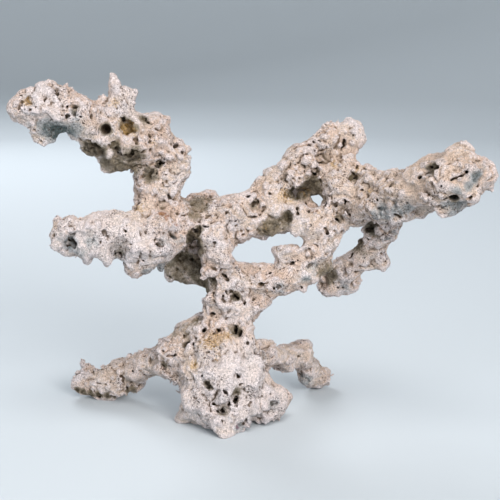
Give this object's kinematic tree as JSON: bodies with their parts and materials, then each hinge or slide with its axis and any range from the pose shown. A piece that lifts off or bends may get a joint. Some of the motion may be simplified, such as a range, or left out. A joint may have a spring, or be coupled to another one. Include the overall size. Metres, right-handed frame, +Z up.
{
  "type": "dry reef rock",
  "caption": "Branching dry limestone reef rock with long arms, a window and arched feet, for laying out an aquarium reef.",
  "frame": {"origin": "on the floor, under the middle of the rock's bounding box", "axes": "+Z up; +X runs along the arms, to the right as seen from the front; -Y is the front, towards the long right arm's end"},
  "size_m": [0.5612, 0.2566, 0.4324],
  "materials": {
    "dry_limestone": "dry, porous cream limestone with grey patches, dark pores and ochre stains"
  },
  "bodies": {
    "root": {"base_mound": "dry_limestone", "left_foot": "dry_limestone", "right_foot": "dry_limestone", "trunk": "dry_limestone", "front_column": "dry_limestone", "back_rib": "dry_limestone", "left_arm": "dry_limestone", "upper_neck": "dry_limestone", "upper_arm": "dry_limestone", "bridge": "dry_limestone", "peak": "dry_limestone", "right_arm": "dry_limestone", "lower_strut": "dry_limestone", "riser": "dry_limestone", "hanging_branch": "dry_limestone"}
  },
  "joints": []
}
